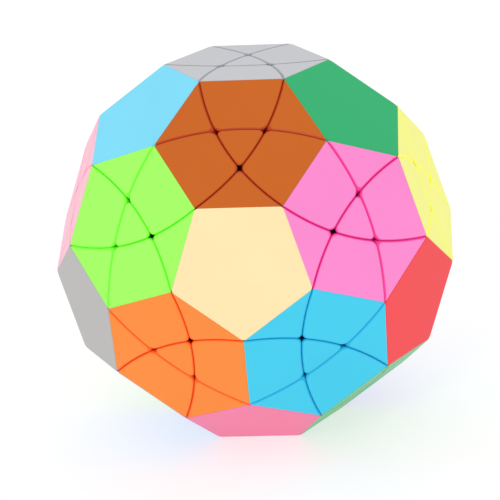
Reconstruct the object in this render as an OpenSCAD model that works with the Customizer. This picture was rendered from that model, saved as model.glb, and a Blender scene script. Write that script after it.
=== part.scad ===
// Face-turning puzzle in the shape of a truncated icosahedron (12 pentagons and 20 hexagons).
//
// Twelve pentagon centres turn on the arms of a twelve-armed core. Thirty edge pieces and twenty
// corner pieces are held between them by feet that reach under their neighbours. Every cut between
// pieces is a surface of revolution about one of the twelve turning axes, so each face can turn.
// Millimetres, +Z up. The origin is the middle of the hexagon that the puzzle rests on.

/* [Outer shape] */
// Length of every edge of the pentagons and hexagons
edge = 18; // [17:0.5:20]
// Half-angle of the cone that cuts the outer tiles about each turning axis
tile_cut_angle = 56.7; // [56:0.1:57.4]
// Depth of the coloured tiles under a hexagon
tile_depth = 4.3; // [3.8:0.1:4.8]

/* [Fits] */
// Gap between pieces that turn past each other
gap = 0.3; // [0.2:0.05:0.4]
// Seam between the moulded parts of one piece
seam = 0.05; // [0.04:0.01:0.08]
// Radial clearance of each centre on its screw
screw_play = 0.05; // [0.02:0.01:0.1]

/* [Feet] */
// Half-angle of the cone that cuts the feet about each turning axis
foot_cut_angle = 52; // [51:0.25:52.75]
// Distance from the middle of the puzzle to the slot above the feet, in edge lengths
foot_top_ratio = 1.715; // [1.69:0.005:1.74]
// Distance from the middle of the puzzle to the underside of the feet, in edge lengths
foot_bottom_ratio = 1.335; // [1.3:0.005:1.37]

/* [Snap pegs] */
// Radius of the pegs that hold the coloured tiles
peg_r = 1.2; // [1:0.1:1.4]
// Height of the pegs above the seam
peg_h = 2.2; // [1.6:0.1:2.4]

/* [Core] */
// Radius of the ball in the middle of the core
ball_r = 12; // [10:0.5:13]
// Radius of the core's arms
arm_r = 3.4; // [3:0.1:3.8]
// Depth of the threaded hole in each arm
arm_hole_depth = 10; // [8:0.5:11]

/* [Screws and springs] */
// Radius of a screw's shank
shank_r = 1.25; // [1:0.05:1.4]
// Radius of a screw's head
head_r = 2.5; // [2.2:0.1:2.7]
// Height of a screw's head
head_h = 2; // [1.6:0.1:2.2]
// Radius of the socket in a screw's head
drive_r = 1.1; // [0.9:0.1:1.3]
// Thickness of the washer under a screw's head
washer_h = 0.5; // [0.4:0.1:0.8]
// Radius of the bore in each centre, which holds the spring and the screw's head
bore_r = 3; // [2.9:0.05:3.2]
// Outer radius of a centre's stalk
stalk_r = 4.55; // [4.4:0.05:4.6]
// Thickness of the floor that the spring presses on
floor_h = 2.2; // [1.8:0.1:2.6]
// Height of a spring as fitted
spring_h = 6.4; // [5.5:0.1:7]
// Radius of a spring, to the middle of its wire
spring_r = 2.1; // [2:0.05:2.2]
// Radius of a spring's wire
wire_r = 0.3; // [0.2:0.05:0.35]
// Turns in a spring
spring_turns = 4; // [3:1:5]

/* [Hidden] */
$fn = 96;
sqrt5 = sqrt(5);
reach = 70;         // longer than any half-space, cone or ball cut needs to be
overlap = 1;        // how far two joined solids run into each other

// Truncated icosahedron: distances from the middle of the puzzle
hex_plane = edge * sqrt(3) * (3 + sqrt5) / 4;
pent_plane = edge * sqrt((125 + 41 * sqrt5) / 40);
icosa_r = 3 * edge * sqrt((5 + sqrt5) / 8);
pent_r = edge / (2 * sin(36));              // middle of a pentagon to its corners
pent_side = pent_r * cos(36);               // middle of a pentagon to its sides

// Angles seen from the middle of the puzzle
axis_step = acos(1 / sqrt5);                // turning axis to its neighbours
pair_tilt = axis_step / 2;                  // middle of an edge piece to its own two axes
pair_side_tilt = acos((1 / sqrt5) / cos(pair_tilt));  // and to the axes beside it
hex_tilt = acos(sqrt((5 + 2 * sqrt5) / 15));          // middle of a hexagon to its three axes
fold_tilt = acos(cos(hex_tilt) / cos(pair_tilt));     // middle of an edge piece to its hexagons

// Radii of the mechanism
tile_r = hex_plane - tile_depth;            // seam under the tiles
foot_top = foot_top_ratio * edge;
foot_bottom = foot_bottom_ratio * edge;
foot_mid = (foot_top + foot_bottom) / 2;    // where necks end inside their feet
arm_end = foot_bottom - 2.3;                // outer end of the core's arms
stalk_end = arm_end + gap;
floor_top = stalk_end + floor_h;
washer_z = floor_top + spring_h;
head_z = washer_z + washer_h;

// The tile cut passes through the tips of the neighbouring pentagons.
tip_r = icosa_r * 2 * sin(axis_step) / 3;
tip_z = icosa_r * (2 * cos(axis_step) + 1) / 3;
tile_cut_apex = tip_z - tip_r / tan(tile_cut_angle);
// Below the tiles the cut is a cone from the middle of the puzzle, which meets the tile cut there.
neck_cut_angle = tile_cut_angle - asin(tile_cut_apex * sin(tile_cut_angle) / tile_r);

// Turning axes: three pentagons near the top, three above the equator, and their opposites
middle_tilt = acos(sqrt((5 - 2 * sqrt5) / 15));
half_axes = concat(
    [for (k = [0 : 2]) direction(hex_tilt, 120 * k - 150)],
    [for (k = [0 : 2]) direction(middle_tilt, 120 * k - 90)]
);
AXES = concat(half_axes, -half_axes);

// One name and colour for each pentagon, in the order of AXES
PENTAGONS = [
    ["light_blue", "#82DFF9"], ["green", "#37B576"], ["purple", "#8F5FD0"],
    ["cream", "#FFEAB5"], ["white", "#F4F3F0"], ["orange", "#FF8A3A"],
    ["blue", "#2E63D6"], ["light_green", "#86DB5C"], ["pink", "#FE82AA"],
    ["yellow", "#FFDD38"], ["grey", "#BFBEBC"], ["red", "#F85D61"]
];

// Edge pieces are pairs of neighbouring axes, and corners (with their hexagons) are threes of them.
PAIRS = [for (i = [0 : 11]) for (j = [i + 1 : 1 : 11]) if (adjacent(i, j)) [i, j]];
TRIPLES = [
    for (i = [0 : 11]) for (j = [i + 1 : 1 : 11]) for (k = [j + 1 : 1 : 11])
        if (adjacent(i, j) && adjacent(j, k) && adjacent(i, k)) [i, j, k]
];

// One name and colour for each hexagon, in the order of TRIPLES
HEXAGONS = [
    ["silver", "#C8C9CD"], ["brown", "#CE6829"], ["turquoise", "#2FC6B4"], ["lime", "#A8FE6B"],
    ["rose", "#FAC8D7"], ["peach", "#FFB893"], ["orchid", "#FE8ED4"], ["lemon", "#FFFE94"],
    ["maroon", "#A32638"], ["navy", "#274690"], ["tangerine", "#FE9348"], ["sky", "#4BD2F2"],
    ["violet", "#B08BF0"], ["mint", "#9CF0CE"], ["gold", "#E5B93C"], ["ivory", "#F6F2E6"],
    ["charcoal", "#55585E"], ["olive", "#9AA33B"], ["emerald", "#3CBE6E"], ["azure", "#5FA8F5"]
];
body_colour = "#3A3A3E";

// Layers that turn, by axis. Every other piece stays with the core.
LAYERS = [["front", 3], ["right", 4], ["left", 5]];
MOVING = [for (layer = LAYERS) layer[1]];
fixed_triples = [
    for (h = [0 : 19]) if (len([for (m = MOVING) if (contains(TRIPLES[h], m)) m]) == 0) h
];

CENTRE_NODES = [for (p = PENTAGONS) str("centre_", p[0])];
EDGE_NODES = [for (p = PAIRS) edge_name(p)];
CORNER_NODES = concat([for (layer = LAYERS) str("corners_", layer[0])], ["corners_fixed"]);

// ---------- directions and groups ----------

function direction(tilt, turn) = [sin(tilt) * cos(turn), sin(tilt) * sin(turn), cos(tilt)];
function unit(v) = v / norm(v);
function adjacent(i, j) = i != j && AXES[i] * AXES[j] > 0.4;
function contains(list, value) = len([for (x = list) if (x == value) x]) > 0;
function total(list) = list * [for (x = list) 1];
// Direction midway between the axes of a pair or three
function middle(group) = unit([for (c = [0 : 2]) total([for (g = group) AXES[g][c]])]);
// Hexagons that hold every axis of a group
function hexagons_of(group) = [
    for (h = [0 : 19]) if (len([for (g = group) if (contains(TRIPLES[h], g)) g]) == len(group)) h
];
function edge_name(pair) =
    let (h = hexagons_of(pair)) str("edge_", HEXAGONS[h[0]][0], "_", HEXAGONS[h[1]][0]);
function layer_triples(axis) = [for (h = [0 : 19]) if (contains(TRIPLES[h], axis)) h];
// The hexagon of a list whose middle lies furthest along a direction
function hexagon_toward(list, v) =
    let (reaches = [for (h = list) middle(TRIPLES[h]) * v])
        [for (n = [0 : len(list) - 1]) if (reaches[n] == max(reaches)) list[n]][0];
function sideways(v, z) = unit(v - (v * z) * z);

// ---------- building blocks ----------

// Each kind of piece is built once, with its middle on +Z, and turned to every place it fills.

// Turns +Z to a direction
module along(v) {
    rotate([0, acos(v[2]), atan2(v[1], v[0])]) children();
}

// Turns +Z to direction z and +X towards direction v, and sets the puzzle on z = 0
module placed(z, v) {
    x = sideways(v, z);
    y = cross(z, x);
    translate([0, 0, hex_plane]) multmatrix([
        [x[0], y[0], z[0], 0],
        [x[1], y[1], z[1], 0],
        [x[2], y[2], z[2], 0],
        [0, 0, 0, 1]
    ]) children();
}

// Everything inside a cone about a turning axis, its surface moved out by an amount. The cone
// starts above its apex, at half the radius where it is needed.
module zone(tilt, turn, half_angle, apex, inner_r, grow) {
    start = inner_r / 2;
    moved_apex = apex - grow / sin(half_angle);
    rotate([0, tilt, turn]) translate([0, 0, start]) cylinder(
        h = reach - start,
        r1 = (start - moved_apex) * tan(half_angle),
        r2 = (reach - moved_apex) * tan(half_angle)
    );
}

module tile_zone(tilt, turn, grow) {
    zone(tilt, turn, tile_cut_angle, tile_cut_apex, tile_r, grow);
}

module neck_zone(tilt, turn, grow) {
    zone(tilt, turn, neck_cut_angle, 0, foot_bottom, grow);
}

module foot_zone(tilt, turn, grow) {
    zone(tilt, turn, foot_cut_angle, 0, foot_bottom, grow);
}

// A ball about the middle of the puzzle, its poles turned away from the pieces
module ball(r) {
    rotate([0, 90, 0]) sphere(r);
}

module shell(inner, outer) {
    difference() {
        ball(outer);
        ball(inner);
    }
}

// Everything below the face plane of a hexagon, out to a wide square
module below_hexagon(tilt, turn) {
    rotate([0, tilt, turn]) translate([-reach / 2, -reach / 2, hex_plane - reach / 2])
        cube([reach, reach, reach / 2]);
}

// A peg that stands out of the seam under a tile, or its socket when grown by the seam
module peg(tilt, turn, grow) {
    rotate([0, tilt, turn]) translate([0, 0, tile_r - overlap])
        cylinder(h = overlap + peg_h + grow, r = peg_r + grow);
}

// ---------- corner pieces ----------

module corner_tile(colour) {
    color(colour) difference() {
        intersection() {
            below_hexagon(0, 0);
            for_three() tile_zone(hex_tilt, 0, -gap / 2);
        }
        ball(tile_r);
        peg(0, 0, seam);
    }
}

// What its three copies about +Z have in common
module for_three() {
    intersection() {
        children();
        rotate([0, 0, 120]) children();
        rotate([0, 0, 240]) children();
    }
}

module corner_body(colour) {
    color(colour) union() {
        intersection() {
            shell(foot_mid, tile_r - seam);
            for_three() neck_zone(hex_tilt, 0, -gap / 2);
        }
        intersection() {
            shell(foot_bottom, foot_top - gap / 2);
            for_three() foot_zone(hex_tilt, 0, -gap / 2);
        }
        peg(0, 0, 0);
    }
}

module corners(list) {
    for (h = list) placed(middle(TRIPLES[h]), AXES[TRIPLES[h][0]]) {
        corner_tile(HEXAGONS[h][1]);
        corner_body(HEXAGONS[h][1]);
    }
}

// ---------- edge pieces ----------

// Tilt of each half's peg from the middle of the edge piece
half_peg_tilt = 0.42 * fold_tilt;

// The coloured half of an edge piece on the +Y side, or on the -Y side when turn is -90
module edge_half(turn, colour) {
    color(colour) rotate([0, 0, turn - 90]) difference() {
        intersection() {
            below_hexagon(fold_tilt, 90);
            translate([-reach / 2, seam / 2, 0]) cube([reach, reach / 2, reach]);
            tile_zone(pair_tilt, 0, -gap / 2);
            tile_zone(pair_tilt, 180, -gap / 2);
        }
        tile_zone(pair_side_tilt, 90, gap / 2);
        ball(tile_r);
        peg(half_peg_tilt, 90, seam);
    }
}

module edge_body() {
    color(body_colour) union() {
        difference() {
            union() {
                intersection() {
                    shell(foot_mid, tile_r - seam);
                    neck_zone(pair_tilt, 0, -gap / 2);
                    neck_zone(pair_tilt, 180, -gap / 2);
                }
                intersection() {
                    shell(foot_bottom, foot_top - gap / 2);
                    foot_zone(pair_tilt, 0, -gap / 2);
                    foot_zone(pair_tilt, 180, -gap / 2);
                }
            }
            for (turn = [90, -90]) {
                neck_zone(pair_side_tilt, turn, gap / 2);
                intersection() {
                    foot_zone(pair_side_tilt, turn, gap / 2);
                    ball(foot_top + gap / 2);
                }
            }
        }
        for (turn = [90, -90]) peg(half_peg_tilt, turn, 0);
    }
}

module edge_piece(pair) {
    z = middle(pair);
    y = cross(z, sideways(AXES[pair[0]], z));
    sides = hexagons_of(pair);
    placed(z, AXES[pair[0]]) {
        edge_half(90, HEXAGONS[hexagon_toward(sides, y)][1]);
        edge_half(-90, HEXAGONS[hexagon_toward(sides, -y)][1]);
        edge_body();
    }
}

// ---------- centre pieces ----------

petal_peg_tilt = 0.61 * hex_tilt;
petal_reach = 1.2 * edge;          // further from the axis than the tips of the petals
body_reach = 1.3 * edge;           // radius of a cylinder round the body and its cuts

module neighbour_cuts() {
    for (k = [0 : 4]) rotate([0, 0, 72 * k + 36]) children();
}

module cap(colour) {
    color(colour) difference() {
        rotate([0, 0, 36]) cylinder(h = pent_plane, r = pent_r - seam / 2 / cos(36), $fn = 5);
        neighbour_cuts() tile_zone(axis_step, 0, gap / 2);
        difference() {
            ball(tile_r);
            translate([0, 0, tile_r - 2 * overlap]) cylinder(h = 3 * overlap, r = bore_r - seam);
        }
    }
}

// The petal on the +X side
module petal(colour) {
    color(colour) difference() {
        intersection() {
            below_hexagon(hex_tilt, 0);
            translate([pent_side + seam / 2, -edge, foot_bottom])
                cube([petal_reach - pent_side, 2 * edge, reach]);
        }
        for (turn = [36, -36]) tile_zone(axis_step, turn, gap / 2);
        ball(tile_r);
        peg(petal_peg_tilt, 0, seam);
    }
}

module centre_body() {
    color(body_colour) difference() {
        union() {
            difference() {
                intersection() {
                    translate([0, 0, foot_bottom]) cylinder(h = reach, r = body_reach);
                    shell(foot_top + gap / 2, tile_r - seam);
                }
                neighbour_cuts() neck_zone(axis_step, 0, gap / 2);
            }
            translate([0, 0, stalk_end])
                cylinder(h = foot_top + 2 * overlap - stalk_end, r = stalk_r);
            for (k = [0 : 4]) peg(petal_peg_tilt, 72 * k, 0);
        }
        translate([0, 0, floor_top]) cylinder(h = reach, r = bore_r);
        cylinder(h = reach, r = shank_r + screw_play);
    }
}

module centre_piece(i) {
    around = hexagons_of([i]);
    x = sideways(middle(TRIPLES[around[1]]), AXES[i]);
    y = cross(AXES[i], x);
    placed(AXES[i], x) {
        cap(PENTAGONS[i][1]);
        for (k = [0 : 4]) rotate([0, 0, 72 * k])
            petal(HEXAGONS[hexagon_toward(around, cos(72 * k) * x + sin(72 * k) * y)][1]);
        centre_body();
    }
}

// ---------- core and fasteners ----------

module core() {
    color("#2C2C2F") translate([0, 0, hex_plane]) difference() {
        union() {
            sphere(ball_r);
            for (v = AXES) along(v) cylinder(h = arm_end, r = arm_r);
        }
        for (v = AXES) along(v) translate([0, 0, arm_end - arm_hole_depth])
            cylinder(h = reach, r = shank_r + screw_play);
    }
}

// One copy on each turning axis
module on_every_axis() {
    translate([0, 0, hex_plane]) for (v = AXES) along(v) children();
}

module screw() {
    difference() {
        union() {
            translate([0, 0, arm_end - arm_hole_depth + overlap])
                cylinder(h = head_z - arm_end + arm_hole_depth, r = shank_r);
            translate([0, 0, head_z]) cylinder(h = head_h, r = head_r);
        }
        translate([0, 0, head_z + head_h / 2]) cylinder(h = head_h, r = drive_r, $fn = 6);
    }
}

module screws() {
    color("silver") on_every_axis() screw();
}

module washers() {
    color("gainsboro") on_every_axis() translate([0, 0, washer_z]) difference() {
        cylinder(h = washer_h - seam, r = head_r);
        translate([0, 0, -overlap])
            cylinder(h = washer_h + 2 * overlap, r = shank_r + screw_play);
    }
}

// Helical spring as one closed tube: rings of wire_sides points along the helix
wire_sides = 5;
ring_step = 36;
ring_count = spring_turns * 360 / ring_step;
coil_rise = spring_h - 2 * wire_r - 2 * seam;

function ring_point(ring, side) =
    let (
        turn = ring * ring_step,
        around = side * 360 / wire_sides,
        r = spring_r + wire_r * cos(around)
    )
        [
            r * cos(turn),
            r * sin(turn),
            floor_top + seam + wire_r + coil_rise * ring / ring_count + wire_r * sin(around)
        ];

module spring() {
    last = ring_count * wire_sides;
    polyhedron(
        points = [
            for (ring = [0 : ring_count]) for (side = [0 : wire_sides - 1]) ring_point(ring, side)
        ],
        faces = concat(
            [[for (side = [0 : wire_sides - 1]) side]],
            [[for (side = [wire_sides - 1 : -1 : 0]) last + side]],
            [
                for (ring = [0 : ring_count - 1]) for (side = [0 : wire_sides - 1])
                    let (next = (side + 1) % wire_sides, base = ring * wire_sides)
                        [base + side, base + wire_sides + side, base + wire_sides + next, base + next]
            ]
        )
    );
}

module springs() {
    color("lightgrey") on_every_axis() spring();
}

// ---------- parts ----------

for (i = [0 : 11])
    centre_piece(i);
for (e = [0 : len(PAIRS) - 1])
    edge_piece(PAIRS[e]);
for (m = [0 : len(LAYERS) - 1])
    corners(layer_triples(LAYERS[m][1]));
corners(fixed_triples);  // corners_fixed
core();
screws();
springs();
washers();
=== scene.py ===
"""Face-turning puzzle shaped as a truncated icosahedron: moulded tiles, piece bodies and metal parts
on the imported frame. Lengths are metres in the row frame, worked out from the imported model's box."""
import math
from itertools import combinations

import bmesh
import bpy
import numpy as np
from mathutils import Matrix, Vector


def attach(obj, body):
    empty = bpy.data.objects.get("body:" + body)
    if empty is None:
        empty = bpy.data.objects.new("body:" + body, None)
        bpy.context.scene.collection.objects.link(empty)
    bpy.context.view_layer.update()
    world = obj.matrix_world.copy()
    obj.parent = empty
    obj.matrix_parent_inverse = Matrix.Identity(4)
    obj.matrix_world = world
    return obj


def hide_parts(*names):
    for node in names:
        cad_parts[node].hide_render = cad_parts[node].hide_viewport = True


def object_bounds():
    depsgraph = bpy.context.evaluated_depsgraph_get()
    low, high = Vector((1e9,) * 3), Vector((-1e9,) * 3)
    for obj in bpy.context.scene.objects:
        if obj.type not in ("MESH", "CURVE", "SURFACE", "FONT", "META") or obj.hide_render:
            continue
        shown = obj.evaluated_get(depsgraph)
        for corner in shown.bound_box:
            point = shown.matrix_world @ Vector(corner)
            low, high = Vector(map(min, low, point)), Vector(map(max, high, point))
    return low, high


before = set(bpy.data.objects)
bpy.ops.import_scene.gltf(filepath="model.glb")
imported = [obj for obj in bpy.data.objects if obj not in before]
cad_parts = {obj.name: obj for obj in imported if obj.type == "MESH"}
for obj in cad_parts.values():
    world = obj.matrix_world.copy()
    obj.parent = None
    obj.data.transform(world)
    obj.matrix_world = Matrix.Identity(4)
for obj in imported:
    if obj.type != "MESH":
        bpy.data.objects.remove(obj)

CAD_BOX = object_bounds()
MM = 0.001

# ---------- puzzle geometry, in the proportions of part.scad ----------

HEX_PLANE = CAD_BOX[1].z / 2                      # middle of the puzzle to a hexagon
MIDDLE = Vector((0, 0, HEX_PLANE))
SQRT5 = math.sqrt(5)
EDGE = HEX_PLANE / (math.sqrt(3) * (3 + SQRT5) / 4)
PENT_PLANE = EDGE * math.sqrt((125 + 41 * SQRT5) / 40)
PENT_SIDE = EDGE / (2 * math.tan(math.radians(36)))  # middle of a pentagon to its sides
ICOSA_R = 3 * EDGE * math.sqrt((5 + SQRT5) / 8)
CUT_ANGLE = math.radians(56.7)                    # half-angle of the cone that cuts the tiles
TIP_R = ICOSA_R * 4 / (3 * SQRT5)                 # from a cut's axis to the corners it meets
TIP_Z = ICOSA_R * (1 + 2 / SQRT5) / 3             # height of those corners along the axis
CUT_APEX = TIP_Z - TIP_R / math.tan(CUT_ANGLE)    # height of the cone's tip
TILE_DEPTH = 4.3 * MM
TILE_R = HEX_PLANE - TILE_DEPTH                   # underside of the tiles
GAP = 0.03 * MM                                   # gap between turning pieces at the surface
DRAFT = 0.13 * MM / TILE_DEPTH                    # moulding draft that widens it below
SEAM = 0.02 * MM                                  # gap between the tiles of one piece
NEIGHBOUR_COS = 1 / SQRT5                         # between the axes of neighbouring pentagons

# Pentagons in axis order and hexagons in the order of the threes of axes around them. The
# colours (sRGB, 0 to 255) are set so that the faces look as in the photo under the studio's
# light; the ones of faces that the photo doesn't show are guessed.
PENTAGONS = {
    "light_blue": (118, 221, 250), "green": (24, 180, 110), "purple": (143, 95, 208),
    "cream": (254, 229, 177), "white": (244, 243, 240), "orange": (255, 138, 58),
    "blue": (46, 99, 214), "light_green": (134, 219, 92), "pink": (255, 116, 166),
    "yellow": (255, 221, 56), "grey": (178, 177, 175), "red": (254, 52, 61),
}
HEXAGONS = {
    "silver": (193, 194, 199), "brown": (203, 102, 34), "turquoise": (47, 198, 180),
    "lime": (163, 254, 100), "rose": (255, 174, 200), "peach": (255, 184, 147),
    "orchid": (254, 142, 210), "lemon": (255, 255, 115), "maroon": (163, 38, 56),
    "navy": (39, 70, 144), "tangerine": (254, 143, 60), "sky": (70, 210, 243),
    "violet": (176, 139, 240), "mint": (156, 240, 206), "gold": (229, 185, 60),
    "ivory": (246, 242, 230), "charcoal": (85, 88, 94), "olive": (154, 163, 59),
    "emerald": (60, 190, 110), "azure": (95, 168, 245),
}
PENT_NAMES = list(PENTAGONS)
HEX_NAMES = list(HEXAGONS)
# Layers that turn, by axis; every other piece stays on the core
LAYERS = {3: "front", 4: "right", 5: "left"}


def unit(v):
    return v / np.linalg.norm(v)


def level(v, normal):
    """Unit direction of v laid into the plane across a normal."""
    return unit(v - (v @ normal) * normal)


def direction(tilt, turn):
    """Unit direction at a tilt from +Z and a turn about it."""
    return np.array([math.sin(tilt) * math.cos(turn), math.sin(tilt) * math.sin(turn), math.cos(tilt)])


def turning_axes():
    """Middles of the pentagons, three upper, three below them, then those opposite each."""
    upper = math.acos(math.sqrt((5 + 2 * SQRT5) / 15))
    middle = math.acos(math.sqrt((5 - 2 * SQRT5) / 15))
    half = [direction(upper, math.radians(120 * k - 150)) for k in range(3)]
    half += [direction(middle, math.radians(120 * k - 90)) for k in range(3)]
    return half + [-v for v in half]


AXES = turning_axes()


def adjacent(i, j):
    return abs(AXES[i] @ AXES[j] - NEIGHBOUR_COS) < 0.01


def neighbours(i):
    return [k for k in range(12) if adjacent(i, k)]


# Axes that hold an edge piece or a corner piece; each three also stands for a hexagon
PAIRS = [p for p in combinations(range(12), 2) if adjacent(*p)]
TRIPLES = [t for t in combinations(range(12), 3) if all(adjacent(*p) for p in combinations(t, 2))]


def middle_of(group):
    return unit(sum(AXES[g] for g in group))


def hexagons_of(group):
    """Hexagons that touch every pentagon of a group."""
    return [h for h, t in enumerate(TRIPLES) if set(group) <= set(t)]


def body_name(group):
    """The body of the piece held by these axes."""
    for axis, layer in LAYERS.items():
        if axis in group:
            return f"{layer}_layer"
    return "core_body"


# ---------- tile shapes ----------

RAYS = 108                     # points round a tile's outline
FINE_RAYS = 1441               # rays that find how to space them
RAY_REACH = 1.3 * EDGE         # longer than any ray to an outline
RAY_HALVINGS = 34              # halvings that find a ray's length
DEEPEST = 0.5 * EDGE           # deeper than any wall
DEPTH_HALVINGS = 24            # halvings that find a wall's depth
TIP_LENGTH = 1.5 * MM          # outline length that each radian of turn counts as
CROSSING_ROUND = 1.2 * MM      # rounding of the tips where two cuts cross
CORNER_ROUND = 0.12 * MM       # rounding of the tips at the corners of a pentagon
CAP_ROUND = 0.4 * MM           # rounding of the pentagon's own corners
RIM = 0.4 * MM                 # rounded rim along a cut
RIDGE = 0.9 * MM               # rounding of the ridge where two colours meet
SHARE_BLEND = 0.1 * MM         # distance over which a cut's rim turns into a seam's ridge
RIM_STEPS = 6                  # rings of the rounded rim
SHADE_STEPS = 2                 # rings over which the painted groove shade sets in
SUPPORT_CUT_INSET = 1.8 * RIM       # from the cuts to a ring that keeps the face's shading flat
SUPPORT_SEAM_INSET = 0.6 * RIDGE    # from the seams to it
WALL_SHARES = (0.15, 0.5, 1.0)      # rings down the wall, as shares of its depth
UNDER_SHARES = (0.66, 0.33)         # rings of the underside, as shares of the way from its middle
HALF_HEART = (0.55, 0.45)           # weights of the fold and the face's middle
PETAL_HEART = (0.5, 0.62)           # weights of the pentagon's and the hexagon's middle


def cone_side(axis, inside):
    """Signed distance from the cut about an axis, negative on the tile's side, and its gradient."""
    sign = 1 if inside else -1

    def side(points):
        z = points @ axis
        out = points - z[:, None] * axis
        r = np.linalg.norm(out, axis=1)
        cut = r * math.cos(CUT_ANGLE) - (z - CUT_APEX) * math.sin(CUT_ANGLE)
        slope = out / r[:, None] * math.cos(CUT_ANGLE) - axis * math.sin(CUT_ANGLE)
        return sign * cut + GAP / 2, sign * slope

    return side


def seam_side(normal, distance=0.0):
    """The same for a seam plane at a distance from the middle of the puzzle along its normal."""
    def side(points):
        return points @ normal - distance + SEAM / 2, np.broadcast_to(normal, points.shape)

    return side


def rounded_out(past, radius):
    """Whether points are outside an outline whose corners have this radius, given how far they are
    past each side."""
    return np.linalg.norm(np.maximum(past + radius, 0), axis=0) > radius


class Tile:
    """One tile's solid: a face plane, and cut and seam sides. Rings of points are found by casting
    rays in planes parallel to the face, so each ring follows the cuts at its own depth."""

    def __init__(self, normal, plane, heart, cuts, seams, beyond=None):
        self.normal = normal
        self.plane = plane
        self.heart = heart                    # direction of the point that rays start from
        self.sides = cuts + seams
        self.is_seam = np.array([False] * len(cuts) + [True] * len(seams))
        # A ridge turns half-way to the face beyond its seam; the tile beyond turns the other half
        self.ridge_turn = 0 if beyond is None else math.acos(normal @ beyond) / 2
        self.corner_round = CORNER_ROUND if len(seams) < 2 else CAP_ROUND
        centred = np.allclose(heart, normal)
        self.across = level(self.spare_axis() if centred else heart, normal)
        self.along = np.cross(normal, self.across)
        self.angles = self.spread_angles()
        self.seam_share = self.seam_shares()

    def spare_axis(self):
        """A turning axis well off the face's normal."""
        return next(axis for axis in AXES if abs(axis @ self.normal) < 0.9)

    def points(self, angles, lengths, heights):
        """Ends of rays of these lengths, in planes at these heights."""
        start = self.heart * (heights / (self.heart @ self.normal))[:, None]
        rays = np.cos(angles)[:, None] * self.across + np.sin(angles)[:, None] * self.along
        return start + rays * lengths[:, None]

    def overrun(self, points, cut_inset, seam_inset):
        """How far each point is past each side, in the face's plane."""
        rows = []
        for side, is_seam in zip(self.sides, self.is_seam):
            distance, slope = side(points)
            flat = slope - (slope @ self.normal)[:, None] * self.normal
            inset = seam_inset if is_seam else cut_inset
            rows.append(distance / np.linalg.norm(flat, axis=1) + inset)
        return np.array(rows)

    def ring(self, angles, heights, cut_inset, seam_inset):
        """The outline at these heights, drawn in from its sides, with rounded tips."""
        near, far = np.zeros(len(angles)), np.full(len(angles), RAY_REACH)
        for _ in range(RAY_HALVINGS):
            lengths = (near + far) / 2
            past = self.overrun(self.points(angles, lengths, heights), cut_inset, seam_inset)
            past_cuts = past[~self.is_seam]
            outside = rounded_out(past, self.corner_round) | rounded_out(past_cuts, CROSSING_ROUND)
            far = np.where(outside, lengths, far)
            near = np.where(outside, near, lengths)
        return self.points(angles, near, heights)

    def spread_angles(self):
        """Ray angles that space the outline's points evenly, with more at the rounded tips."""
        fine = np.linspace(0, 2 * math.pi, FINE_RAYS)
        ring = self.ring(fine, np.full(len(fine), self.plane), 0, 0)
        steps = np.diff(ring, axis=0)
        lengths = np.linalg.norm(steps, axis=1)
        heading = steps / lengths[:, None]
        turn = np.linalg.norm(heading - np.roll(heading, 1, axis=0), axis=1)
        weight = np.concatenate([[0], np.cumsum(lengths + turn * TIP_LENGTH)])
        return np.interp(np.arange(RAYS) / RAYS * weight[-1], weight, fine)

    def seam_shares(self):
        """1 where the outline runs along a seam, 0 along a cut, and between these at the tips."""
        ring = self.ring(self.angles, np.full(RAYS, self.plane), 0, 0)
        past = self.overrun(ring, 0, 0)
        weight = np.exp((past - past.max(axis=0)) / SHARE_BLEND)
        return weight[self.is_seam].sum(axis=0) / weight.sum(axis=0)

    def rim_ring(self, step):
        """A ring of the rounded rim: step 0 is the edge of the flat face, RIM_STEPS the wall's top."""
        turn = step / RIM_STEPS * math.pi / 2
        cut_inset, cut_depth = RIM * (1 - math.sin(turn)), RIM * (1 - math.cos(turn))
        ridge = step / RIM_STEPS * self.ridge_turn
        seam_inset = RIDGE * (math.sin(self.ridge_turn) - math.sin(ridge))
        seam_depth = RIDGE * (1 - math.cos(ridge))
        depth = (1 - self.seam_share) * cut_depth + self.seam_share * seam_depth
        return self.ring(self.angles, self.plane - depth, cut_inset, seam_inset), depth

    def bottom_depths(self, start):
        """Depth at which the wall reaches the ball of radius TILE_R, at each ray."""
        shallow, deep = start.copy(), np.full(RAYS, DEEPEST)
        for _ in range(DEPTH_HALVINGS):
            depth = (shallow + deep) / 2
            ring = self.ring(self.angles, self.plane - depth, DRAFT * depth, 0)
            radius = np.linalg.norm(ring, axis=1)
            shallow = np.where(radius > TILE_R, depth, shallow)
            deep = np.where(radius > TILE_R, deep, depth)
        return shallow

    def rings(self):
        """Rings from the flat face down the walls and across the underside, each with its share of
        painted groove shade, which darkens the rims and walls of the grooves where shade falls."""
        face = np.full(RAYS, self.plane)
        found = [(self.ring(self.angles, face, SUPPORT_CUT_INSET, SUPPORT_SEAM_INSET), 0.0)]
        for step in range(RIM_STEPS + 1):
            ring, depth = self.rim_ring(step)
            # painted groove shade: it sets in over the rim's first rings, not along the seams, and is
            # full on the walls and underside
            found.append((ring, min(step / SHADE_STEPS, 1) * (1 - self.seam_share)))
        bottom = self.bottom_depths(depth)
        for share in WALL_SHARES:
            down = depth + share * (bottom - depth)
            ring = self.ring(self.angles, self.plane - down, DRAFT * down, 0)
            found.append((ring, 1.0))
        for share in UNDER_SHARES:
            inward = share * ring + (1 - share) * self.heart * TILE_R
            inward *= TILE_R / np.linalg.norm(inward, axis=1)[:, None]
            found.append((inward, 1.0))
        return found


def placing(normal, toward):
    """Rotation whose z is the face's normal and whose x leans toward a direction."""
    x = level(toward, normal)
    return np.array([x, np.cross(normal, x), normal]).T


def on_pentagon(i):
    return placing(AXES[i], AXES[neighbours(i)[0]])


def on_hexagon(h, toward):
    return placing(middle_of(TRIPLES[h]), toward)


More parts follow.
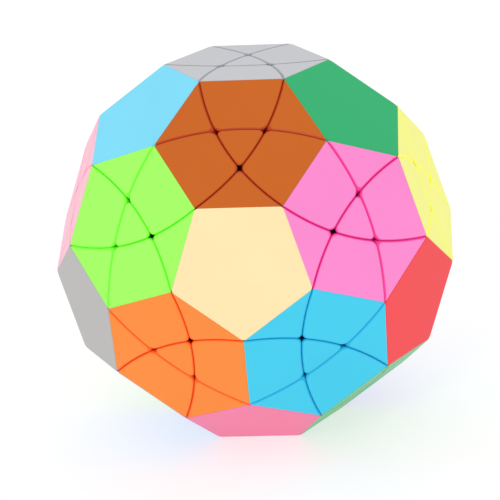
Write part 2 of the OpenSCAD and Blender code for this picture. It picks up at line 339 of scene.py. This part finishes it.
def corner_tile(h):
    """The three-sided tile in the middle of a hexagon."""
    cuts = [cone_side(AXES[i], True) for i in TRIPLES[h]]
    n = middle_of(TRIPLES[h])
    return Tile(n, HEX_PLANE, n, cuts, []), on_hexagon(h, AXES[TRIPLES[h][0]])


def half_tile(pair, h):
    """An edge piece's four-sided tile on one of its two hexagons."""
    other = (set(TRIPLES[h]) - set(pair)).pop()
    split = unit(np.cross(AXES[pair[0]], AXES[pair[1]]))
    away = -split if split @ AXES[other] > 0 else split
    cuts = [cone_side(AXES[i], True) for i in pair] + [cone_side(AXES[other], False)]
    n, fold = middle_of(TRIPLES[h]), middle_of(pair)
    heart = unit(HALF_HEART[0] * fold + HALF_HEART[1] * n)
    next_hexagon = next(k for k in hexagons_of(pair) if k != h)
    tile = Tile(n, HEX_PLANE, heart, cuts, [seam_side(away)], middle_of(TRIPLES[next_hexagon]))
    return tile, on_hexagon(h, fold)


def out_normal(i, h):
    """Direction from the middle of pentagon i straight across the side that hexagon h meets."""
    return level(middle_of(TRIPLES[h]), AXES[i])


def petal_tile(i, h):
    """A centre's small tile on one of the hexagons around it."""
    cuts = [cone_side(AXES[k], False) for k in TRIPLES[h] if k != i]
    n = middle_of(TRIPLES[h])
    heart = unit(PETAL_HEART[0] * AXES[i] + PETAL_HEART[1] * n)
    seam = seam_side(-out_normal(i, h), -PENT_SIDE)
    return Tile(n, HEX_PLANE, heart, cuts, [seam], AXES[i]), on_hexagon(h, AXES[i])


def cap_tile(i):
    """A centre's pentagon, whose corners the neighbouring cuts pass through."""
    cuts = [cone_side(AXES[k], False) for k in neighbours(i)]
    around = hexagons_of([i])
    seams = [seam_side(out_normal(i, h), PENT_SIDE) for h in around]
    tile = Tile(AXES[i], PENT_PLANE, AXES[i], cuts, seams, middle_of(TRIPLES[around[0]]))
    return tile, on_pentagon(i)


def tile_template(tile, place):
    """The rings of a tile and the middle of its underside, turned back from its place, so that
    they can be put in every place where the tile repeats."""
    rings = [(ring @ place, groove_shade) for ring, groove_shade in tile.rings()]
    under = tile.heart @ place * TILE_R
    return rings, under


def tile_mesh(name, template, place):
    """The template's mesh in a place, with each point's share of painted groove shade as a point
    attribute.
    """
    rings, under = template
    mesh = bpy.data.meshes.new(name)
    bm = bmesh.new()
    groove_shade_layer = bm.verts.layers.float.new("groove_shade")
    loops = []
    for ring, groove_shade in rings:
        verts = [bm.verts.new(Vector(place @ p) + MIDDLE) for p in ring]
        for v, share in zip(verts, np.broadcast_to(groove_shade, RAYS)):
            v[groove_shade_layer] = share
        loops.append(verts)
    bm.faces.new(loops[0])
    for upper, lower in zip(loops, loops[1:]):
        for k in range(RAYS):
            after = (k + 1) % RAYS
            bm.faces.new((upper[k], lower[k], lower[after], upper[after]))
    base = bm.verts.new(Vector(place @ under) + MIDDLE)
    base[groove_shade_layer] = 1.0
    for k in range(RAYS):
        bm.faces.new((loops[-1][k], base, loops[-1][(k + 1) % RAYS]))
    for face in bm.faces:
        face.smooth = True
    bm.normal_update()
    bm.to_mesh(mesh)
    bm.free()
    return mesh


# ---------- fasteners, in the proportions of part.scad ----------

FOOT_BOTTOM = 1.335 * EDGE             # inner end of the pieces' feet
ARM_END = FOOT_BOTTOM - 2.3 * MM       # outer end of the core's arms
SHANK_R = 1.25 * MM
SCREW_TIP = ARM_END - 9 * MM
SCREW_TIP_R = 0.6 * SHANK_R
THREAD_START = SCREW_TIP + SHANK_R / 3
THREAD_PITCH = 0.6 * MM
THREAD_DEPTH = 0.16 * MM
RINGS_A_PITCH = 4
SPRING_BASE = ARM_END + 2.55 * MM      # floor of a centre's bore, where its spring stands
SPRING_H = 6.3 * MM
SPRING_R = 2.1 * MM
SPRING_TURNS = 4
CLOSED_TURNS = 0.75                    # turns that lie close together at each end of a spring
RINGS_A_TURN = 32
WIRE_R = 0.3 * MM
WIRE_SIDES = 12
STACK_GAP = 0.05 * MM                  # between spring and washer, and washer and screw head
WASHER_BASE = SPRING_BASE + SPRING_H + STACK_GAP
WASHER_H = 0.45 * MM
WASHER_HOLE_R = 1.3 * MM
HEAD_BASE = WASHER_BASE + WASHER_H + STACK_GAP
HEAD_H = 2 * MM
HEAD_TOP = HEAD_BASE + HEAD_H
HEAD_R = 2.5 * MM
SOCKET_R = 1.1 * MM                    # middle of the hexagonal socket to its corners
BEVEL = 0.12 * MM
SIDES = 36                             # of every turned form
SIDE_ANGLES = np.arange(SIDES) / SIDES * 2 * math.pi
SHARP_ANGLE = math.radians(35)         # edges sharper than this are not shaded smooth


def turned_ring(height, radius):
    """A ring about +Z, with one radius or a radius for each side."""
    r = np.broadcast_to(radius, SIDES)
    return np.stack([r * np.cos(SIDE_ANGLES), r * np.sin(SIDE_ANGLES), np.full(SIDES, height)], axis=1)


def thread_rings():
    """Rings up the shank, drawn in by a groove that winds round it."""
    found = []
    for height in np.arange(THREAD_START, ARM_END, THREAD_PITCH / RINGS_A_PITCH):
        phase = (height / THREAD_PITCH - SIDE_ANGLES / (2 * math.pi)) % 1
        found.append(turned_ring(height, SHANK_R - THREAD_DEPTH * abs(2 * phase - 1)))
    return found


def screw_rings():
    """From the tip of the shank up over the head and down into its socket."""
    sixth = math.radians(60)
    socket = SOCKET_R * math.cos(sixth / 2) / np.cos(SIDE_ANGLES % sixth - sixth / 2)
    outline = [
        (ARM_END, SHANK_R), (HEAD_BASE, SHANK_R),
        (HEAD_BASE, HEAD_R - BEVEL), (HEAD_BASE + BEVEL, HEAD_R),
        (HEAD_TOP - 2 * BEVEL, HEAD_R), (HEAD_TOP, HEAD_R - 2 * BEVEL),
        (HEAD_TOP, SOCKET_R + BEVEL), (HEAD_TOP - BEVEL, socket),
        ((HEAD_BASE + HEAD_TOP) / 2, socket),
    ]
    tip = turned_ring(SCREW_TIP, SCREW_TIP_R)
    return [tip] + thread_rings() + [turned_ring(*place) for place in outline]


def washer_rings():
    """Round the washer's section, out from its hole and back."""
    top = WASHER_BASE + WASHER_H
    outline = [
        (WASHER_BASE, WASHER_HOLE_R + BEVEL), (WASHER_BASE, HEAD_R - BEVEL),
        (WASHER_BASE + BEVEL, HEAD_R), (top - BEVEL, HEAD_R),
        (top, HEAD_R - BEVEL), (top, WASHER_HOLE_R + BEVEL),
        (top - BEVEL, WASHER_HOLE_R), (WASHER_BASE + BEVEL, WASHER_HOLE_R),
    ]
    return [turned_ring(*place) for place in outline]


def spring_rings():
    """Rings across the wire, along a helix with closed turns at both ends."""
    turns = np.linspace(0, SPRING_TURNS, SPRING_TURNS * RINGS_A_TURN + 1)
    closed_rise = 2 * WIRE_R * CLOSED_TURNS
    rise = SPRING_H - 2 * WIRE_R
    heights = np.interp(
        turns,
        [0, CLOSED_TURNS, SPRING_TURNS - CLOSED_TURNS, SPRING_TURNS],
        [0, closed_rise, rise - closed_rise, rise],
    )
    around = np.arange(WIRE_SIDES) / WIRE_SIDES * 2 * math.pi
    found = []
    for turn, height in zip(turns * 2 * math.pi, heights):
        r = SPRING_R + WIRE_R * np.cos(around)
        z = SPRING_BASE + height + WIRE_R + WIRE_R * np.sin(around)
        found.append(np.stack([r * math.cos(turn), r * math.sin(turn), z], axis=1))
    return found


def smooth_mesh(name, bm):
    """The mesh of a closed form, shaded smooth except across its sharp edges."""
    bmesh.ops.recalc_face_normals(bm, faces=bm.faces)
    for face in bm.faces:
        face.smooth = True
    mesh = bpy.data.meshes.new(name)
    bm.to_mesh(mesh)
    bm.free()
    mesh.set_sharp_from_angle(angle=SHARP_ANGLE)
    return mesh


def skin(name, rings, place, ends):
    """A closed mesh over rings of points, with flat faces at its ends or the last ring joined to
    the first."""
    bm = bmesh.new()
    loops = [[bm.verts.new(Vector(place @ p) + MIDDLE) for p in ring] for ring in rings]
    if ends:
        bm.faces.new(loops[0])
        bm.faces.new(loops[-1])
    for lower, upper in zip(loops, loops[1:] if ends else loops[1:] + loops[:1]):
        for k in range(len(lower)):
            after = (k + 1) % len(lower)
            bm.faces.new((lower[k], lower[after], upper[after], upper[k]))
    return smooth_mesh(name, bm)


# ---------- materials ----------

STUDIO_LIGHT = 1.12    # light on the faces, where 1 shows a white face as white
GLOSS = 0.012          # what the plastic's gloss adds to its colour
DARKEST = 0.001        # of any channel of a plastic
# Noise scales, in cells a metre
CLOUD_SCALE = 60
RIPPLE_SCALE = 220
GRAIN_SCALE = 2500
SCRATCH_SCALE = 4000
PAPER_SCALE = 40
NOISE_MIDDLE = (0.3, 0.7)    # where most of a noise's values lie
# Power and shade of the painted groove shade, which deepens a colour as shade and light bounced between
# the walls would, and the colours that take it differently
GROOVE_SHADE = (1.9, 1.0)
OWN_GROOVE_SHADE = {
    "brown": (1.6, 1.0), "lime": (1.7, 1.0), "orchid": (2.5, 0.9),
    "tangerine": (1.7, 1.0), "sky": (1.6, 0.85),
}


def linear(channel):
    """Light of an sRGB channel."""
    c = channel / 255
    return c / 12.92 if c <= 0.04045 else ((c + 0.055) / 1.055) ** 2.4


def rgba(colour):
    return tuple(linear(c) for c in colour) + (1.0,)


def plastic_colour(colour):
    """Base colour of a plastic that shows this colour under even studio light, gloss included."""
    return tuple(max(linear(c) - GLOSS, DARKEST) / STUDIO_LIGHT for c in colour) + (1.0,)


def painted_groove_colour(colour, power, shade):
    """Painted shade for a groove's walls: the colour deepened as shade and light bouncing between the
    walls would show it.
    """
    return tuple(shade * linear(c) ** power for c in colour) + (1.0,)


def node_tools(name):
    """A new material, its shader, and functions that add a node and link two sockets."""
    mat = bpy.data.materials.new(name)
    mat.use_nodes = True
    nodes, links = mat.node_tree.nodes, mat.node_tree.links
    shader = nodes["Principled BSDF"]

    def add(kind, **values):
        node = nodes.new(kind)
        for key, value in values.items():
            setattr(node, key, value)
        return node

    return mat, shader, add, links.new


def noise(add, link, place, scale, detail=3.0):
    node = add("ShaderNodeTexNoise")
    node.inputs["Scale"].default_value = scale
    node.inputs["Detail"].default_value = detail
    link(place, node.inputs["Vector"])
    return node.outputs["Fac"]


def spread(add, link, value, low, high):
    """Maps a noise's middle range to the range low to high."""
    node = add("ShaderNodeMapRange")
    node.inputs["From Min"].default_value = NOISE_MIDDLE[0]
    node.inputs["From Max"].default_value = NOISE_MIDDLE[1]
    node.inputs["To Min"].default_value = low
    node.inputs["To Max"].default_value = high
    link(value, node.inputs["Value"])
    return node.outputs["Result"]


def bumped(add, link, shader, height, strength, distance):
    """Raises a shader's surface by a noise."""
    node = add("ShaderNodeBump")
    node.inputs["Strength"].default_value = strength
    node.inputs["Distance"].default_value = distance
    link(height, node.inputs["Height"])
    link(node.outputs["Normal"], shader.inputs["Normal"])


def abs_plastic(name, colour, groove_shading):
    """Glossy moulded ABS: slight cloudiness in the colour, a faint ripple, varying gloss, and painted
    shade on the rims and walls of the grooves.
    """
    mat, shader, add, link = node_tools(name)
    place = add("ShaderNodeTexCoord").outputs["Object"]
    cloud = noise(add, link, place, CLOUD_SCALE)
    ripple = noise(add, link, place, RIPPLE_SCALE, 1.0)
    shade = add("ShaderNodeHueSaturation")
    shade.inputs["Color"].default_value = plastic_colour(colour)
    link(spread(add, link, cloud, 0.98, 1.02), shade.inputs["Value"])
    # painted shade: the grooves' rims and walls mix toward a deeper, darker colour that stands in for
    # shade and bounced light
    groove_shade = add("ShaderNodeAttribute", attribute_name="groove_shade")
    mix = add("ShaderNodeMix", data_type="RGBA")
    link(groove_shade.outputs["Fac"], mix.inputs["Factor"])
    link(shade.outputs["Color"], mix.inputs["A"])
    mix.inputs["B"].default_value = painted_groove_colour(colour, *groove_shading)
    link(mix.outputs["Result"], shader.inputs["Base Color"])
    link(spread(add, link, cloud, 0.3, 0.34), shader.inputs["Roughness"])
    shader.inputs["Specular IOR Level"].default_value = 0.25
    bumped(add, link, shader, ripple, 0.1, 0.02 * MM)
    return mat


def grained(name, colour, scale, detail, shades, roughness, bump):
    """A material and its shader, whose colour, gloss and surface vary with one fine noise."""
    mat, shader, add, link = node_tools(name)
    place = add("ShaderNodeTexCoord").outputs["Object"]
    grain = noise(add, link, place, scale, detail)
    shade = add("ShaderNodeHueSaturation")
    shade.inputs["Color"].default_value = rgba(colour)
    link(spread(add, link, grain, *shades), shade.inputs["Value"])
    link(shade.outputs["Color"], shader.inputs["Base Color"])
    link(spread(add, link, grain, *roughness), shader.inputs["Roughness"])
    bumped(add, link, shader, grain, *bump)
    return mat, shader


def matt_plastic(name, colour):
    """Unpolished moulded plastic of the inner bodies and the core."""
    mat, _ = grained(
        name, colour, GRAIN_SCALE, detail=6.0,
        shades=(0.85, 1.15), roughness=(0.5, 0.65), bump=(0.15, 0.05 * MM),
    )
    return mat


def plated_steel(name, colour, roughness):
    """Zinc-plated or drawn steel with fine scratches."""
    mat, shader = grained(
        name, colour, SCRATCH_SCALE, detail=8.0,
        shades=(0.85, 1.1), roughness=roughness, bump=(0.1, 0.02 * MM),
    )
    shader.inputs["Metallic"].default_value = 1.0
    return mat


PLASTICS = {}
for shape, colours in {"pentagon": PENTAGONS, "hexagon": HEXAGONS}.items():
    for name, colour in colours.items():
        slot = f"{shape}_{name}"
        PLASTICS[slot] = abs_plastic(slot, colour, OWN_GROOVE_SHADE.get(name, GROOVE_SHADE))
INNER_PLASTIC = matt_plastic("inner_plastic", (58, 58, 62))
SCREW_STEEL = plated_steel("screw_steel", (190, 190, 195), (0.25, 0.4))
SPRING_STEEL = plated_steel("spring_steel", (175, 175, 180), (0.2, 0.35))
WASHER_STEEL = plated_steel("washer_steel", (195, 195, 198), (0.25, 0.45))
CORE_PLASTIC = matt_plastic("core_black", (42, 42, 45))


# ---------- pieces ----------

WELD = 0.001 * MM              # points this close in a CAD mesh are one
BODY_R = 0.9 * TILE_R          # solids that reach below this are inner bodies, not tiles


def add_piece(name, mesh, material, body, node):
    """A piece that rides a body of the frame and takes a CAD node's place."""
    mesh.materials.clear()
    mesh.materials.append(material)
    piece = bpy.data.objects.new(name, mesh)
    bpy.context.scene.collection.objects.link(piece)
    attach(piece, body)
    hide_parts(node)


def add_tile(name, template, place, slot, body, node):
    add_piece(name, tile_mesh(name, template, place), PLASTICS[slot], body, node)


def joined_points(bm):
    """Groups of points that edges join, one for each solid, in the mesh's own order."""
    seen, groups = set(), []
    for first in bm.verts:
        if first in seen:
            continue
        seen.add(first)
        group = [first]
        for v in group:
            for e in v.link_edges:
                other = e.other_vert(v)
                if other not in seen:
                    seen.add(other)
                    group.append(other)
        groups.append(group)
    return groups


def solid_copy(name, group):
    """The solid that a group of joined points belongs to, as a mesh of its own."""
    out = bmesh.new()
    twin = {v: out.verts.new(v.co) for v in group}
    # A dict keeps the faces in order, so that every run gives the same mesh
    for face in dict.fromkeys(f for v in group for f in v.link_faces):
        out.faces.new([twin[v] for v in face.verts])
    return smooth_mesh(name, out)


def piece_bodies(node):
    """Meshes of the inner bodies in a CAD node: its solids that reach below the tiles."""
    bm = bmesh.new()
    bm.from_mesh(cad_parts[node].data)
    bmesh.ops.remove_doubles(bm, verts=bm.verts, dist=WELD)
    found = [g for g in joined_points(bm) if min((v.co - MIDDLE).length for v in g) < BODY_R]
    meshes = [solid_copy(f"{node}_body_{k}", group) for k, group in enumerate(found)]
    bm.free()
    return meshes


def heading(mesh):
    """Direction from the middle of the puzzle to the middle of a mesh's points."""
    return sum((v.co - MIDDLE for v in mesh.vertices), Vector()).normalized()


def add_centres(cap_shape, petal_shape):
    """A cap, five petals and a body on every turning axis."""
    for i, name in enumerate(PENT_NAMES):
        node, body, slot = f"centre_{name}", body_name([i]), f"pentagon_{name}"
        add_tile(f"cap_{name}", cap_shape, on_pentagon(i), slot, body, node)
        for h in hexagons_of([i]):
            petal_slot = f"hexagon_{HEX_NAMES[h]}"
            petal_name = f"petal_{name}_{HEX_NAMES[h]}"
            add_tile(petal_name, petal_shape, on_hexagon(h, AXES[i]), petal_slot, body, node)
        for mesh in piece_bodies(node):
            add_piece(f"centre_body_{name}", mesh, INNER_PLASTIC, body, node)


def add_edges(half_shape):
    """Two half tiles and a body on every pair of neighbouring axes."""
    for pair in PAIRS:
        sides = hexagons_of(pair)
        label = "_".join(HEX_NAMES[h] for h in sides)
        node, body = f"edge_{label}", body_name(pair)
        for h in sides:
            slot = f"hexagon_{HEX_NAMES[h]}"
            name = f"edge_tile_{label}_on_{HEX_NAMES[h]}"
            add_tile(name, half_shape, on_hexagon(h, middle_of(pair)), slot, body, node)
        for mesh in piece_bodies(node):
            add_piece(f"edge_body_{label}", mesh, INNER_PLASTIC, body, node)


def add_corners(corner_shape):
    """A tile and a body in the middle of every hexagon."""
    bodies = {layer: piece_bodies(f"corners_{layer}") for layer in [*LAYERS.values(), "fixed"]}
    for h, name in enumerate(HEX_NAMES):
        layer = next((LAYERS[i] for i in TRIPLES[h] if i in LAYERS), "fixed")
        node, body, slot = f"corners_{layer}", body_name(TRIPLES[h]), f"hexagon_{name}"
        place = on_hexagon(h, AXES[TRIPLES[h][0]])
        add_tile(f"corner_tile_{name}", corner_shape, place, slot, body, node)
        out = Vector(middle_of(TRIPLES[h]))
        mesh = max(bodies[layer], key=lambda m: heading(m) @ out)
        add_piece(f"corner_body_{name}", mesh, PLASTICS[slot], body, node)


def add_fasteners():
    """A screw, a spring and a washer on every turning axis, held by the core."""
    kinds = [
        ("screw", screw_rings(), True, SCREW_STEEL),
        ("spring", spring_rings(), True, SPRING_STEEL),
        ("washer", washer_rings(), False, WASHER_STEEL),
    ]
    for i, pentagon in enumerate(PENT_NAMES):
        for kind, rings, ends, material in kinds:
            name = f"{kind}_{pentagon}"
            mesh = skin(name, rings, on_pentagon(i), ends)
            add_piece(name, mesh, material, "core_body", f"{kind}s")


def add_core():
    for mesh in piece_bodies("core"):
        add_piece("core_frame", mesh, CORE_PLASTIC, "core_body", "core")


# ---------- studio ----------

WHITE = (1, 1, 1, 1)
FLOOR_SIZE = 600 * EDGE            # its edge is far from the puzzle in every view
FLOOR_COLOUR = (0.35, 0.35, 0.35, 1)
FLOOR_GLOW = 0.66                  # lifts the floor to the photo's white
WORLD_LIGHT = 1.0
KEY_PLACE = Vector((-0.25, -1.05, 0.65))
KEY_SIZE = 0.25
KEY_POWER = 2.5                    # watts
CAMERA_AZIMUTH = math.radians(4.654)
CAMERA_ELEVATION = math.radians(18.759)
CAMERA_ROLL = math.radians(-2.962)
CAMERA_DISTANCE = 27.65 * EDGE
AIM_RIGHT, AIM_UP = -0.0657 * EDGE, -0.1265 * EDGE    # from the puzzle's middle
LENS = 160.8                       # mm
SENSOR_WIDTH = 36                  # mm


def add_floor():
    """A white sheet that glows a little, so that it is as bright as the photo's background."""
    bpy.ops.mesh.primitive_plane_add(size=FLOOR_SIZE, location=(0, 0, 0))
    floor = bpy.context.object
    floor.name = "floor"
    mat, shader, add, link = node_tools("floor_paper")
    place = add("ShaderNodeTexCoord").outputs["Object"]
    tooth = noise(add, link, place, PAPER_SCALE)
    link(spread(add, link, tooth, 0.6, 0.7), shader.inputs["Roughness"])
    shader.inputs["Base Color"].default_value = FLOOR_COLOUR
    shader.inputs["Emission Color"].default_value = WHITE
    shader.inputs["Emission Strength"].default_value = FLOOR_GLOW
    shader.inputs["Specular IOR Level"].default_value = 0.1
    floor.data.materials.append(mat)


def add_world():
    world = bpy.data.worlds.new("studio")
    bpy.context.scene.world = world
    world.use_nodes = True
    background = world.node_tree.nodes["Background"]
    background.inputs["Color"].default_value = WHITE
    background.inputs["Strength"].default_value = WORLD_LIGHT


def add_key_light():
    light = bpy.data.lights.new("key", "AREA")
    light.shape = "DISK"
    light.size = KEY_SIZE
    light.energy = KEY_POWER
    lamp = bpy.data.objects.new("key", light)
    lamp.location = KEY_PLACE
    lamp.rotation_euler = (MIDDLE - KEY_PLACE).to_track_quat("-Z", "Y").to_euler()
    bpy.context.scene.collection.objects.link(lamp)


def add_camera():
    """The photo's camera, rolled a little and aimed beside the puzzle's middle."""
    az, el = CAMERA_AZIMUTH, CAMERA_ELEVATION
    back = Vector((math.sin(az) * math.cos(el), -math.cos(az) * math.cos(el), math.sin(el)))
    right = Vector((math.cos(az), math.sin(az), 0))
    up = back.cross(right)
    right, up = (
        right * math.cos(CAMERA_ROLL) + up * math.sin(CAMERA_ROLL),
        up * math.cos(CAMERA_ROLL) - right * math.sin(CAMERA_ROLL),
    )
    lens = bpy.data.cameras.new("camera")
    lens.lens = LENS
    lens.sensor_width = SENSOR_WIDTH
    camera = bpy.data.objects.new("camera", lens)
    place = MIDDLE + right * AIM_RIGHT + up * AIM_UP + back * CAMERA_DISTANCE
    turn = Matrix((right, up, back)).transposed().to_4x4()
    camera.matrix_world = Matrix.Translation(place) @ turn
    bpy.context.scene.collection.objects.link(camera)
    bpy.context.scene.camera = camera


# Tiles of one kind are alike, so each kind is shaped once, on the first axis, pair or hexagon
cap = tile_template(*cap_tile(0))
petal = tile_template(*petal_tile(0, hexagons_of([0])[0]))
half = tile_template(*half_tile(PAIRS[0], hexagons_of(PAIRS[0])[0]))
corner = tile_template(*corner_tile(0))

add_centres(cap, petal)
add_edges(half)
add_corners(corner)
add_fasteners()
add_core()
add_floor()
add_world()
add_key_light()
add_camera()
bpy.context.scene.view_settings.view_transform = "Standard"
